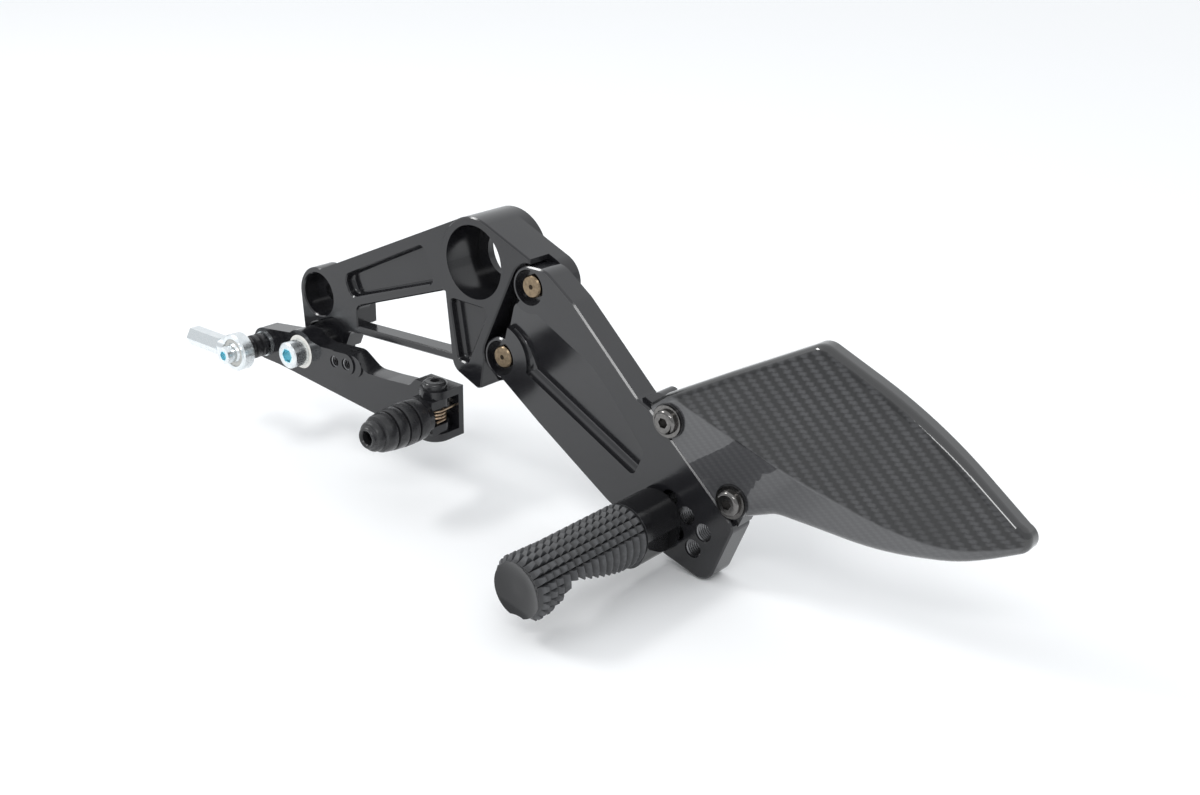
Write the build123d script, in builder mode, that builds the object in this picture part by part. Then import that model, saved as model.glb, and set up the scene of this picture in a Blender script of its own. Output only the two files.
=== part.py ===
from build123d import *
import math
import os

os.makedirs("parts", exist_ok=True)

# Rear-set footrest for the gear-shift side of a motorcycle, in millimetres.
# +X points to the rear of the motorcycle, +Y inboard and +Z up.
# The origin lies on the axis of the main frame bore, on the hanger's outboard face.

# Clearances
pin_clearance = 0.06
seat_clearance = 0.03
running_gap = 0.15
thread_clearance = 0.05

# Hanger: frame bosses
main_boss_radius = 20.0
main_boss_length = 28.0
main_boss_chamfer = 2.0
main_bore_radius = 16.5
main_bore_depth = 20.0
main_bolt_radius = 10.5
main_shoulder = 3.0
main_rear_radius = 15.0
front_boss = (-107.5, -38.7)
front_boss_radius = 13.4
front_bore_radius = 10.6
front_bore_depth = 8.5
front_bolt_radius = 4.2
front_spigot_radius = 9.0
front_spigot_length = 6.0

# Hanger: beam, strut, web and flange
beam_setback = 2.0
beam_depth = 10.0
beam_nose_radius = 11.1
block_depth = 14.0
block_corner = (-86.8, -52.6)
block_heel = (-92.0, -63.0)
block_corner_radius = 5.0
window_corners = [(-18.8, -17.0, 2.5), (-79.9, -38.6, 4.5), (-79.9, -48.6, 4.5), (-15.2, -45.6, 2.5)]
strut_height = 3.8
web_corner = (-7.4, -47.0)
web_corner_radius = 7.0
web_tip = (1.2, -55.4)
web_tip_radius = 2.5
lobe_radius = 11.6
flange_thickness = 8.0
beam_pocket_corners = [(-87.9, -25.1, 4.0), (-33.8, 0.7, 2.5), (-27.3, -15.8, 2.5), (-83.3, -34.9, 4.0)]
web_pocket_corners = [(-15.0, -19.4, 2.5), (8.6, -19.8, 2.5), (-4.6, -47.6, 2.5), (-10.2, -47.0, 2.5)]
frame_pocket_depth = 4.5
frame_pocket_fillet = 2.0
hanger_edge = 0.6

# Peg plate
plate_thickness = 12.0
plate_boss_radius = 9.3
plate_gap = 0.8
upper_screw = (32.5, -4.3)
lower_screw = (15.5, -40.0)
plate_corners = [
    (32.5, 5.0, 0),
    (42.0, 5.0, 10.0),
    (57.0, -5.5, 16.0),
    (92.5, -38.8, 8.0),
    (98.5, -41.0, 3.0),
    (142.6, -80.2, 4.5),
    (130.8, -109.6, 7.5),
    (108.0, -103.4, 25.0),
    (77.0, -88.8, 25.0),
    (38.0, -64.5, 25.0),
    (15.5, -49.3, 0),
    (15.5, -40.0, 0),
    (19.5, -24.0, 4.0),
    (23.0, -15.0, 4.0),
    (32.5, -4.3, 0),
]
plate_edge = 0.7
plate_pocket_corners = [
    (12.0, -26.0, 0),
    (30.8, -43.0, 2.5),
    (91.0, -73.0, 2.5),
    (96.5, -61.0, 4.0),
    (77.0, -39.0, 12.0),
    (49.0, -12.5, 6.0),
    (20.0, -9.0, 0),
]
plate_pocket_wall = 4.5
plate_pocket_rise = 9.2
lower_boss_land = 15.6
upper_boss_land = 11.4
ledge_corners = [
    (92.5, -38.8, 0),
    (101.0, -33.5, 4.0),
    (115.5, -40.0, 5.0),
    (148.5, -66.5, 6.0),
    (142.6, -80.2, 0),
]
ledge_depth = 2.6
ledge_gap = 1.0

# Screws that hold the plate
plate_screw_radius = 5.0
plate_screw_recess = 1.2
plate_screw_bore = 7.8
plate_screw_bore_depth = 4.0
plate_screw_head_radius = 8.0
plate_screw_head_length = 5.0
plate_screw_sink = 5.2
plate_screw_socket = 8.0
plate_screw_point = 0.6

# Tapped peg positions, a grid aligned with the plate's lower edge
peg_axis = (105.4, -86.0)
peg_grid_pitch = 10.0
peg_grid_angle = -29.0
peg_thread_radius = 4.0

# Foot peg
peg_flange_radius = 10.6
peg_flange_length = 2.6
peg_base_radius = 12.4
peg_base_length = 20.4
peg_keel_radius = 10.2
peg_keel_drop = 5.2
peg_flat_wide = 12.2
peg_flat_narrow = 6.8
peg_radius = 12.9
peg_lip_radius = 13.6
peg_lip_rings = 4
peg_ring_pitch = 4.1
peg_ring_count = 15
peg_ring_crest = 0.7
peg_tooth_depth = 1.8
peg_groove_count = 9
peg_groove_step = 16.25
peg_groove_width = 2.9
peg_lip_grooves = 5
peg_end_length = 1.6
peg_end_radius = 11.4
peg_dish_depth = 2.2
peg_dish_floor = 3.0
peg_under_depth = 12.6
peg_under_slope = 0.33
peg_lip_flat = 11.8
peg_stud_grip = 16.0
peg_stud_engagement = 10.0

# Heel guard
guard_sheet = 2.6
guard_return = 7.5
guard_lean = 10.0
guard_edge_gap = 0.6
guard_corners = [
    (92.0, -43.0, 6.0),
    (105.0, -33.4, 6.0),
    (133.2, -17.8, 60.0),
    (170.5, 2.2, 8.0),
    (218.0, -16.8, 230.0),
    (266.5, -50.5, 6.0),
    (240.0, -63.4, 110.0),
    (205.0, -71.2, 120.0),
    (160.0, -69.0, 15.0),
    (134.0, -79.4, 6.0),
]
guard_crease_start = (90.0, -26.2)
guard_crease_end = (152.0, -45.7)
guard_crease_steps = 5
guard_crease_bend = [
    (166.0, -50.0, 3.0),
    (189.0, -55.2, 9.0),
    (214.0, -58.6, 13.0),
    (240.0, -57.2, 17.0),
    (272.0, -44.0, 21.0),
]
guard_rim_fillet = 4.0
guard_reach = 40.0

# Heel guard screws
guard_screws = [(108.6, -43.2), (141.0, -68.6)]
guard_screw_radius = 3.0
guard_screw_flange_radius = 6.8
guard_screw_flange = 1.0
guard_screw_dome_radius = 5.2
guard_screw_dome = 2.4
guard_screw_round = 1.6
guard_screw_socket = 4.0
guard_screw_length = 9.0
guard_screw_clearance = 0.3
guard_washer_radius = 7.4
guard_washer_thickness = 0.8

# Shift lever
lever_thickness = 10.0
lever_face = -11.0
lever_pivot = (-107.5, -64.6)
lever_hub_radius = 10.8
lever_hub_clearance = 0.9
lever_recess_depth = 2.0
lever_recess_corners = [
    (-98.0, -48.3, 4.0),
    (-92.2, -49.7, 3.0),
    (-85.8, -54.1, 0),
    (-78.0, -95.0, 0),
    (-135.0, -95.0, 0),
]
lever_recess_slope = 26.0
lever_top_corners = [
    (-107.5, -55.6, 12.0),
    (-92.0, -58.4, 8.0),
    (-71.0, -56.9, 7.0),
    (-60.0, -63.6, 10.0),
    (-46.0, -63.0, 30.0),
    (-31.0, -61.8, 4.0),
]
lever_bottom_corners = [(-52.0, -82.8, 10.0), (-108.0, -77.0, 30.0), (-124.0, -75.4, 8.0)]
pivot_block_radius = 11.4

# Lever pad with two tapped positions
pad_holes = [(-80.8, -62.6), (-72.6, -62.0)]
pad_radius = 5.2
pad_height = 1.5
pad_step = (-68.0, -62.2)
pad_step_height = 0.8
pad_thread_radius = 2.9

# Lever pivot
pivot_bolt_radius = 4.0
pivot_head_radius = 6.5
pivot_head_length = 8.0
pivot_head_edge = 0.6
pivot_socket = 6.0
pivot_bush_wall = 1.6
pivot_bush_flange_radius = 8.3
pivot_bush_flange = 1.4
pivot_bush_length = 4.5
pivot_bolt_engagement = 9.0
pivot_spacer_radius = 8.0

# Rod end
rod_pivot = (-135.0, -67.0)
rod_arm_radius = 8.0
rod_bolt_radius = 2.5
rod_head_radius = 4.25
rod_head_length = 5.0
rod_socket = 4.0
rod_bolt_engagement = 8.0
rod_washer_radius = 6.2
rod_washer_thickness = 1.0
rod_spacer_radius = 4.4
rod_spacer_length = 11.0
rod_spacer_ridge = 1.4
rod_spacer_ridges = 3
ball_radius = 5.55
ball_width = 8.0
liner_wall = 1.3
liner_width = 5.6
eye_radius = 9.2
eye_width = 6.4
eye_edge = 0.6
shank_flats = 9.0
shank_round_radius = 4.6
shank_start = 11.5
shank_length = 35.5
shank_thread_radius = 2.5
shank_thread_depth = 16.0
shank_chamfer = 0.8

# Clevis and toe peg
clevis_start = -27.0
clevis_end = -6.6
clevis_top = -58.0
clevis_height = 23.6
clevis_plate = 3.6
clevis_wall = 3.0
toe_axis = (-13.6, -11.6)
clevis_lobe_radius = 7.2
clevis_bay_gap = 0.8
toe_screw_radius = 3.0
toe_screw_head_radius = 5.6
toe_screw_head = 3.2
toe_screw_round = 1.6
toe_screw_socket = 4.0
toe_ear_radius = 6.0
toe_ear_gap = 0.2
toe_collar_offset = 8.0
toe_collar_radius = 8.0
toe_collar_length = 2.6
toe_core_radius = 5.0
toe_bore_radius = 3.0
toe_bore_depth = 14.0
toe_rubber_length = 31.0
toe_rubber_bands = [9.2, 9.8, 9.7, 9.0]
toe_rubber_swell = 0.3
toe_rubber_groove = 0.9
toe_rubber_groove_depth = 0.9
toe_rubber_nose = 7.4
toe_rubber_tip = 6.0
toe_rubber_nose_length = 4.0
spring_wire = 1.1
spring_radius = 4.4
spring_turns = 3
spring_pitch = 1.6
spring_fork_leg = 4.0
spring_hole_radius = 1.1
spring_play = 1.05
spring_drop = 0.6

# Places worked out from the sizes above
flange_back = plate_thickness + flange_thickness
screw_seat = flange_back - plate_screw_sink
lever_back = lever_face + lever_thickness
recess_face = beam_setback + lever_recess_depth
ledge_face = ledge_depth
guard_face = ledge_face - guard_sheet
peg_knurl_start = peg_flange_length + peg_base_length
peg_knurl_length = peg_ring_count * peg_ring_pitch
peg_length = peg_knurl_start + peg_knurl_length + peg_end_length
clevis_bottom = clevis_top - clevis_height
clevis_middle = clevis_top - clevis_height / 2
bay_top = clevis_top - clevis_plate
bay_bottom = clevis_bottom + clevis_plate
coil_height = spring_pitch * spring_turns
spring_space = coil_height + spring_wire + 2 * spring_play
toe_ear_height = (bay_top - bay_bottom - spring_space) / 2 - toe_ear_gap
spring_leg_height = clevis_middle + coil_height / 2 - spring_drop
spring_slope = spring_pitch / (2 * math.pi * spring_radius)
spring_wall_leg = lever_back - clevis_wall / 2 - toe_axis[1]


def at_y(y):
    """Sketch plane across the motorcycle at y, drawn in X and Z and facing outboard."""
    return Plane.XZ.offset(-y)


def points_of(corners):
    return [(corner[0], corner[1]) for corner in corners]


def radii_of(corners):
    return [corner[2] for corner in corners]


def nearest_edge(part, x, z, y):
    """Edge along Y that stands closest to a place on the front view."""
    return part.edges().filter_by(Axis.Y).sort_by_distance(Vertex(x, y, z))[0]


def moved(point, along, angle):
    turn = math.radians(angle)
    return (point[0] + along * math.cos(turn), point[1] + along * math.sin(turn))


# Hanger bracket
with BuildPart() as hanger:
    # Beam between the frame bosses, tapering to the front
    with BuildSketch(at_y(beam_setback)):
        Circle(main_boss_radius)
        with Locations(front_boss):
            Circle(beam_nose_radius)
        make_hull()
    extrude(amount=beam_setback - beam_depth)
    # Front block, which runs down behind the lever to its pivot
    with BuildSketch(at_y(beam_setback)):
        with Locations(front_boss):
            Circle(front_boss_radius)
        with Locations(lever_pivot):
            Circle(pivot_block_radius)
        make_hull()
        with BuildLine():
            Polyline(
                front_boss,
                window_corners[1][:2],
                window_corners[2][:2],
                block_corner,
                block_heel,
                lever_pivot,
                close=True,
            )
        make_face()
    extrude(amount=beam_setback - block_depth)
    # Strut under the window
    strut_left = window_corners[2]
    strut_right = window_corners[3]
    with BuildSketch(at_y(beam_setback)):
        with BuildLine():
            Polyline(
                (strut_left[0], strut_left[1]),
                (strut_right[0] + strut_height, strut_right[1]),
                (strut_right[0] + strut_height, strut_right[1] - strut_height),
                block_corner,
                close=True,
            )
        make_face()
    extrude(amount=beam_setback - beam_depth)
    # Web and rear flange round the plate screws
    with BuildSketch(at_y(0)):
        Circle(main_boss_radius)
        with Locations(upper_screw, lower_screw):
            Circle(lobe_radius)
        with Locations(web_corner):
            Circle(web_corner_radius)
        with Locations(web_tip):
            Circle(web_tip_radius)
        make_hull()
    extrude(amount=-flange_back)
    # Main boss
    with BuildSketch(at_y(0)):
        Circle(main_boss_radius)
    extrude(amount=-main_boss_length)
    rear_rim = hanger.faces().sort_by(Axis.Y)[-1].edges()
    chamfer(rear_rim, main_boss_chamfer)
    # Window
    with BuildSketch(at_y(0)):
        with BuildLine():
            FilletPolyline(*points_of(window_corners), radius=radii_of(window_corners), close=True)
        make_face()
    extrude(amount=-flange_back, mode=Mode.SUBTRACT)
    # Seat of the peg plate
    with BuildSketch(at_y(0)):
        with Locations(upper_screw, lower_screw):
            Circle(plate_boss_radius + plate_gap)
        make_hull()
        with BuildLine():
            Polyline(
                upper_screw,
                (upper_screw[0] + plate_gap, upper_screw[1] + 2 * lobe_radius),
                (upper_screw[0] + 4 * lobe_radius, upper_screw[1] + 2 * lobe_radius),
                (upper_screw[0] + 4 * lobe_radius, lower_screw[1] - 3 * lobe_radius),
                (web_tip[0] + web_tip_radius, lower_screw[1] - 3 * lobe_radius),
                (web_tip[0] + web_tip_radius, web_tip[1]),
                (lower_screw[0] - plate_boss_radius, lower_screw[1]),
                close=True,
            )
        make_face()
    extrude(amount=-plate_thickness, mode=Mode.SUBTRACT)
    # Concave corner between the strut and the front block
    corner_edge = nearest_edge(hanger.part, block_corner[0], block_corner[1], beam_depth / 2)
    fillet(corner_edge, block_corner_radius)
    # Relief for the lever's hub and arm
    relief_radius = lever_hub_radius + lever_hub_clearance
    relief_start = moved(lever_pivot, relief_radius, 90 + lever_recess_slope)
    with BuildSketch(at_y(0)):
        with Locations(lever_pivot):
            Circle(relief_radius)
        with BuildLine():
            FilletPolyline(
                relief_start,
                *points_of(lever_recess_corners),
                radius=[0, *radii_of(lever_recess_corners)],
                close=True,
            )
        make_face()
    extrude(amount=-recess_face, mode=Mode.SUBTRACT)
    # Front frame bore with its locating spigot behind
    with BuildSketch(at_y(block_depth)):
        with Locations(front_boss):
            Circle(front_spigot_radius)
    extrude(amount=-front_spigot_length)
    with BuildSketch(at_y(beam_setback)):
        with Locations(front_boss):
            Circle(front_bore_radius)
    extrude(amount=-front_bore_depth, mode=Mode.SUBTRACT)
    with BuildSketch(at_y(0)):
        with Locations(front_boss):
            Circle(front_bolt_radius)
    extrude(amount=-block_depth - front_spigot_length, mode=Mode.SUBTRACT)
    # Lever pivot thread and the holes of the plate screws
    with BuildSketch(at_y(0)):
        with Locations(lever_pivot):
            Circle(pivot_bolt_radius + thread_clearance)
        with Locations(upper_screw, lower_screw):
            Circle(plate_screw_radius + pin_clearance)
    extrude(amount=-main_boss_length, mode=Mode.SUBTRACT)
    with BuildSketch(at_y(screw_seat)):
        with Locations(upper_screw, lower_screw):
            Circle(plate_screw_head_radius + plate_gap)
    extrude(amount=-plate_screw_sink, mode=Mode.SUBTRACT)

for corners, pocket_face in ((beam_pocket_corners, beam_setback), (web_pocket_corners, 0)):
    with BuildPart() as frame_pocket:
        with BuildSketch(at_y(pocket_face)):
            with BuildLine():
                FilletPolyline(*points_of(corners), radius=radii_of(corners), close=True)
            make_face()
        extrude(amount=-frame_pocket_depth)
        fillet(frame_pocket.faces().sort_by(Axis.Y)[-1].edges(), frame_pocket_fillet)
    with hanger:
        add(frame_pocket.part, mode=Mode.SUBTRACT)

with hanger:
    front_face = hanger.faces().filter_by(Axis.Y).sort_by(Axis.Y)[0]
    chamfer(front_face.outer_wire().edges(), hanger_edge)
    front_face = hanger.faces().filter_by(Axis.Y).sort_by(Axis.Y)[0]
    chamfer([edge for wire in front_face.inner_wires() for edge in wire.edges()], hanger_edge)
    # Edges of the front block, window and strut, as far as the boss and the web
    beam_front = hanger.faces().filter_by(Axis.Y).filter_by_position(Axis.Y, beam_setback, beam_setback)
    beam_edges = beam_front.edges().filter_by_position(Axis.X, 2 * front_boss[0], -main_boss_radius)
    beam_edges = beam_edges.filter_by(lambda edge: edge.bounding_box().max.X < -main_boss_radius / 2)
    chamfer(beam_edges, hanger_edge)
    # Main frame bore with a sharp rim, its shoulder and its rear recess
    with Locations(at_y(0)):
        CounterBoreHole(main_bolt_radius, main_bore_radius, main_bore_depth)
    with BuildSketch(at_y(main_bore_depth + main_shoulder)):
        Circle(main_rear_radius)
    extrude(amount=main_shoulder + main_bore_depth - main_boss_length, mode=Mode.SUBTRACT)

hanger.part.label = "hanger_bracket"
export_step(hanger.part, "parts/hanger_bracket.step")

# Pocket of the peg plate: its floor rises from the lower wall to the front face
wall_start = plate_pocket_corners[1]
wall_end = plate_pocket_corners[2]
wall_run = Vector(wall_end[0] - wall_start[0], 0, wall_end[1] - wall_start[1]).normalized()
wall_side = Vector(-wall_run.Z, 0, wall_run.X)
floor_rise = math.radians(plate_pocket_rise)
floor_side = wall_side * math.cos(floor_rise) - Vector(0, 1, 0) * math.sin(floor_rise)
pocket_floor = Plane(
    origin=(wall_start[0], plate_pocket_wall, wall_start[1]),
    x_dir=wall_run,
    z_dir=floor_side.cross(wall_run),
)
with BuildPart() as plate_pocket:
    with BuildSketch(at_y(0)):
        with BuildLine():
            FilletPolyline(
                *points_of(plate_pocket_corners), radius=radii_of(plate_pocket_corners), close=True
            )
        make_face()
        with Locations(lower_screw):
            Circle(lower_boss_land, mode=Mode.SUBTRACT)
        with Locations(upper_screw):
            Circle(upper_boss_land, mode=Mode.SUBTRACT)
    extrude(amount=-2 * plate_pocket_wall)
    split(bisect_by=pocket_floor, keep=Keep.BOTTOM)

# Peg plate
peg_positions = []
for across in (0, 1):
    for along in (0, 1, 2):
        shifted = moved(peg_axis, along * peg_grid_pitch, peg_grid_angle)
        peg_positions.append(moved(shifted, across * peg_grid_pitch, peg_grid_angle + 90))

with BuildPart() as plate:
    with BuildSketch(at_y(0)):
        with BuildLine():
            FilletPolyline(*points_of(plate_corners), radius=radii_of(plate_corners), close=True)
        make_face()
        with Locations(upper_screw, lower_screw):
            Circle(plate_boss_radius)
    extrude(amount=-plate_thickness)
    chamfer(plate.faces().sort_by(Axis.Y)[0].edges(), plate_edge)
    # Ledge that carries the heel guard
    with BuildSketch(at_y(ledge_face)):
        with BuildLine():
            FilletPolyline(*points_of(ledge_corners), radius=radii_of(ledge_corners), close=True)
        make_face()
    extrude(amount=ledge_face - plate_thickness)
    add(plate_pocket.part, mode=Mode.SUBTRACT)
    # Screw bosses, peg positions and guard screws
    with BuildSketch(at_y(0)):
        with Locations(upper_screw, lower_screw):
            Circle(plate_screw_bore)
    extrude(amount=-plate_screw_bore_depth, mode=Mode.SUBTRACT)
    with BuildSketch(at_y(0)):
        with Locations(upper_screw, lower_screw):
            Circle(plate_screw_radius + thread_clearance)
        with Locations(*peg_positions):
            Circle(peg_thread_radius)
        with Locations(*guard_screws):
            Circle(guard_screw_radius + thread_clearance)
    extrude(amount=-plate_thickness, mode=Mode.SUBTRACT)
plate.part.label = "peg_plate"
export_step(plate.part, "parts/peg_plate.step")

# Screws that hold the plate, put in from behind
with BuildPart() as plate_screws:
    with BuildSketch(at_y(plate_screw_recess)):
        with Locations(upper_screw, lower_screw):
            Circle(plate_screw_radius)
    extrude(amount=plate_screw_recess - screw_seat)
    tips = plate_screws.faces().sort_by(Axis.Y)[:2]
    chamfer([edge for tip in tips for edge in tip.edges()], plate_screw_point)
    with BuildSketch(at_y(screw_seat)):
        with Locations(upper_screw, lower_screw):
            Circle(plate_screw_head_radius)
    extrude(amount=-plate_screw_head_length)
    with BuildSketch(at_y(screw_seat + plate_screw_head_length)):
        with Locations(upper_screw, lower_screw):
            RegularPolygon(plate_screw_socket / 2, 6, major_radius=False)
    extrude(amount=plate_screw_head_length / 2, mode=Mode.SUBTRACT)
plate_screws.part.label = "plate_screws"
export_step(plate_screws.part, "parts/plate_screws.step")

# Foot peg, turned about its own axis with outboard as the drawing's first direction
peg_side = Plane(origin=(peg_axis[0], 0, peg_axis[1]), x_dir=(0, -1, 0), z_dir=(-1, 0, 0))
peg_keel = (peg_axis[0], peg_axis[1] - peg_keel_drop)


def ring_crests(crest_of_ring, depth):
    """Saw-tooth outline of the knurled rings, one crest for each ring."""
    side = (peg_ring_pitch - peg_ring_crest) / 2
    outline = []
    for ring in range(peg_ring_count):
        start = peg_knurl_start + ring * peg_ring_pitch
        crest = crest_of_ring(ring)
        outline.append((start, crest - depth))
        outline.append((start + side, crest))
        outline.append((start + side + peg_ring_crest, crest))
    outline.append((start + peg_ring_pitch, crest - depth))
    return outline


def peg_crest(ring):
    flare = max(0, ring + 1 - (peg_ring_count - peg_lip_rings)) / peg_lip_rings
    return peg_radius + (peg_lip_radius - peg_radius) * flare


def under_crest(ring):
    """Height of the underside, which rises outwards and then hooks down to the lip."""
    straight = min(ring, peg_ring_count - peg_lip_rings - 1)
    depth = peg_under_depth - straight * peg_ring_pitch * peg_under_slope
    hook = (ring - straight) / peg_lip_rings
    return -depth - (peg_lip_flat - depth) * hook**2 * (3 - 2 * hook)


with BuildPart() as foot_peg:
    with BuildSketch(peg_side):
        with BuildLine():
            dish_rim = (peg_length - peg_dish_depth, peg_dish_floor)
            Polyline(
                dish_rim,
                (peg_length - peg_dish_depth, 0),
                (peg_flange_length, 0),
                (peg_flange_length, peg_base_radius),
                (peg_knurl_start, peg_base_radius),
                *ring_crests(peg_crest, peg_tooth_depth),
                (peg_length, peg_end_radius),
            )
            TangentArc(dish_rim, (peg_length, peg_end_radius), tangent=(0, 1))
        make_face()
    revolve(axis=Axis(peg_side.origin, peg_side.x_dir))
    # Underside of the knurled grip
    with BuildSketch(peg_side):
        with BuildLine():
            under_rings = ring_crests(under_crest, -peg_tooth_depth)
            Polyline(
                *under_rings,
                (peg_length + peg_end_length, -peg_lip_flat),
                (peg_length + peg_end_length, -2 * peg_lip_radius),
                (peg_knurl_start, -2 * peg_lip_radius),
                close=True,
            )
        make_face()
    extrude(amount=2 * peg_lip_radius, both=True, mode=Mode.SUBTRACT)
    # Lengthwise grooves that cut the upper rings into pyramids, and shorter ones round the lip
    groove_top = peg_lip_radius + peg_tooth_depth / 2
    groove_half = math.atan(peg_groove_width / 2 / groove_top)
    upper_half = (peg_groove_count - 1) / 2
    upper_steps = [step - upper_half for step in range(peg_groove_count)]
    lip_steps = [side * (upper_half + 1 + step) for side in (-1, 1) for step in range(peg_lip_grooves)]
    lip_start = peg_knurl_start + (peg_ring_count - peg_lip_rings + 1) * peg_ring_pitch
    for start, crest, steps in (
        (peg_knurl_start, peg_radius, upper_steps),
        (lip_start, peg_lip_radius, lip_steps),
    ):
        floor = crest - peg_tooth_depth
        with BuildSketch(at_y(-start)):
            with Locations(peg_axis):
                for step in steps:
                    place = math.radians(90 + step * peg_groove_step)
                    left = place - groove_half
                    right = place + groove_half
                    Polygon(
                        (floor * math.cos(place), floor * math.sin(place)),
                        (groove_top * math.cos(left), groove_top * math.sin(left)),
                        (groove_top * math.cos(right), groove_top * math.sin(right)),
                        align=None,
                    )
        extrude(amount=peg_length - start, mode=Mode.SUBTRACT)
    # Base with a deeper keel, and the flange that seats on the plate
    with BuildSketch(at_y(-peg_flange_length)):
        with Locations(peg_axis):
            Circle(peg_base_radius)
        with Locations(peg_keel):
            Circle(peg_keel_radius)
        make_hull()
    extrude(amount=peg_base_length)
    # Tapered flats on the lower half of the base
    with BuildSketch(Plane.XY.offset(peg_axis[1])):
        for side in (-1, 1):
            with BuildLine():
                Polyline(
                    (peg_axis[0] + side * peg_flat_wide, -peg_knurl_start),
                    (peg_axis[0] + side * peg_flat_narrow, -peg_flange_length),
                    (peg_axis[0] + side * 2 * peg_lip_radius, -peg_flange_length),
                    (peg_axis[0] + side * 2 * peg_lip_radius, -peg_knurl_start),
                    close=True,
                )
            make_face()
    extrude(amount=-2 * peg_lip_radius, mode=Mode.SUBTRACT)
    with BuildSketch(at_y(0)):
        with Locations(peg_axis, peg_keel):
            Circle(peg_flange_radius)
        make_hull()
    extrude(amount=peg_flange_length)
    # Thread for the stud
    with BuildSketch(at_y(0)):
        with Locations(peg_axis):
            Circle(peg_thread_radius)
    extrude(amount=peg_stud_grip, mode=Mode.SUBTRACT)
foot_peg.part.label = "foot_peg"
export_step(foot_peg.part, "parts/foot_peg.step")

# Stud between the foot peg and the plate
with BuildPart() as foot_peg_stud:
    with BuildSketch(at_y(peg_stud_engagement)):
        with Locations(peg_axis):
            Circle(peg_thread_radius - thread_clearance)
    extrude(amount=peg_stud_engagement + peg_stud_grip)
foot_peg_stud.part.label = "foot_peg_stud"
export_step(foot_peg_stud.part, "parts/foot_peg_stud.step")

# Heel guard: a leaning sheet folded along a curved crease, with its free edges turned inboard
crease_run = Vector(
    guard_crease_end[0] - guard_crease_start[0], 0, guard_crease_end[1] - guard_crease_start[1]
)
crease_up = Vector(-crease_run.Z, 0, crease_run.X).normalized()
lean = math.radians(guard_lean)
guard_normal = crease_up * math.sin(lean) - Vector(0, 1, 0) * math.cos(lean)
guard_plane = Plane(
    origin=(guard_crease_start[0], guard_face, guard_crease_start[1]), x_dir=crease_run, z_dir=guard_normal
)
guard_crease = []
for step in range(guard_crease_steps):
    share = step / (guard_crease_steps - 1)
    place = Vector(guard_crease_start[0], 0, guard_crease_start[1]) + crease_run * share
    guard_crease.append((place.X, place.Z, 0))
guard_crease += guard_crease_bend


def crease_depth(x, z):
    """Where the leaning sheet's outer face stands above a place on the front view."""
    rise = (x - guard_crease_start[0]) * guard_normal.X + (z - guard_crease_start[1]) * guard_normal.Z
    return guard_face - rise / guard_normal.Y


def outline_block(grow):
    """The guard's outline, seen from outboard, as a deep block."""
    with BuildPart() as block:
        with BuildSketch(at_y(guard_face - guard_reach)):
            with BuildLine():
                FilletPolyline(*points_of(guard_corners), radius=radii_of(guard_corners), close=True)
            make_face()
            if grow:
                offset(amount=grow)
        extrude(amount=-2 * guard_reach)
    return block.part


def flank_block(depth):
    """Everything behind the flange and the flank, which turns under along the crease."""
    half = 2 * guard_reach
    with BuildPart() as block:
        for x, z, turn in guard_crease:
            slant = half * math.tan(math.radians(turn))
            start = (x, crease_depth(x, z) + depth, z)
            with BuildSketch(Plane(origin=start, x_dir=(0, 1, 0), z_dir=(1, 0, 0))):
                with BuildLine():
                    Polyline((-slant, half), (half, half), (half, -half), (slant, -half), close=True)
                make_face()
        loft()
    return block.part


def sheet_block(depth):
    """Everything behind the leaning sheet."""
    with BuildPart() as block:
        with BuildSketch(guard_plane.offset(-depth)):
            Rectangle(12 * guard_reach, 12 * guard_reach)
        extrude(amount=-2 * guard_reach)
    return block.part


def guard_shape(grow, depth, rim):
    """Common block behind the leaning sheet and the flank, each with its rim rounded."""
    with BuildPart() as sheet:
        add(outline_block(grow))
        add(sheet_block(depth), mode=Mode.INTERSECT)
        if rim:
            fillet(sheet.faces().sort_by(Axis(guard_plane.origin, guard_normal))[-1].edges(), rim)
    with BuildPart() as flank:
        add(outline_block(grow))
        add(flank_block(depth), mode=Mode.INTERSECT)
        if rim:
            fillet(flank.faces().filter_by(GeomType.BSPLINE).sort_by(Axis.Y)[0].edges(), rim)
    with BuildPart() as shape:
        add(sheet.part)
        add(flank.part, mode=Mode.INTERSECT)
    return shape.part


with BuildPart() as heel_guard:
    add(guard_shape(0, 0, guard_rim_fillet))
    add(guard_shape(-guard_sheet, guard_sheet, 0), mode=Mode.SUBTRACT)
    add(guard_shape(guard_sheet, guard_return, 0), mode=Mode.SUBTRACT)
    # Straight edge beside the plate's front face
    edge_start = Vector(plate_corners[4][0], 0, plate_corners[4][1])
    edge_run = Vector(plate_corners[5][0], 0, plate_corners[5][1]) - edge_start
    plate_side = Plane(origin=edge_start, x_dir=edge_run, z_dir=edge_run.cross(Vector(0, 1, 0)))
    split(bisect_by=plate_side.offset(guard_edge_gap), keep=Keep.TOP)
    # Flat flange where the guard lies on the plate's ledge
    with BuildSketch(at_y(ledge_face)):
        with BuildLine():
            FilletPolyline(*points_of(ledge_corners), radius=radii_of(ledge_corners), close=True)
        make_face()
        offset(amount=ledge_gap)
    extrude(amount=-guard_reach, mode=Mode.SUBTRACT)
    # Flat seats for the washers, and the screw holes
    with BuildSketch(at_y(guard_face)):
        with Locations(*guard_screws):
            Circle(guard_washer_radius + guard_edge_gap)
    extrude(amount=guard_sheet, mode=Mode.SUBTRACT)
    with BuildSketch(at_y(guard_face)):
        with Locations(*guard_screws):
            Circle(guard_screw_radius + guard_screw_clearance)
    extrude(amount=-guard_reach, mode=Mode.SUBTRACT)
heel_guard.part.label = "heel_guard"
export_step(heel_guard.part, "parts/heel_guard.step")

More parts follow.
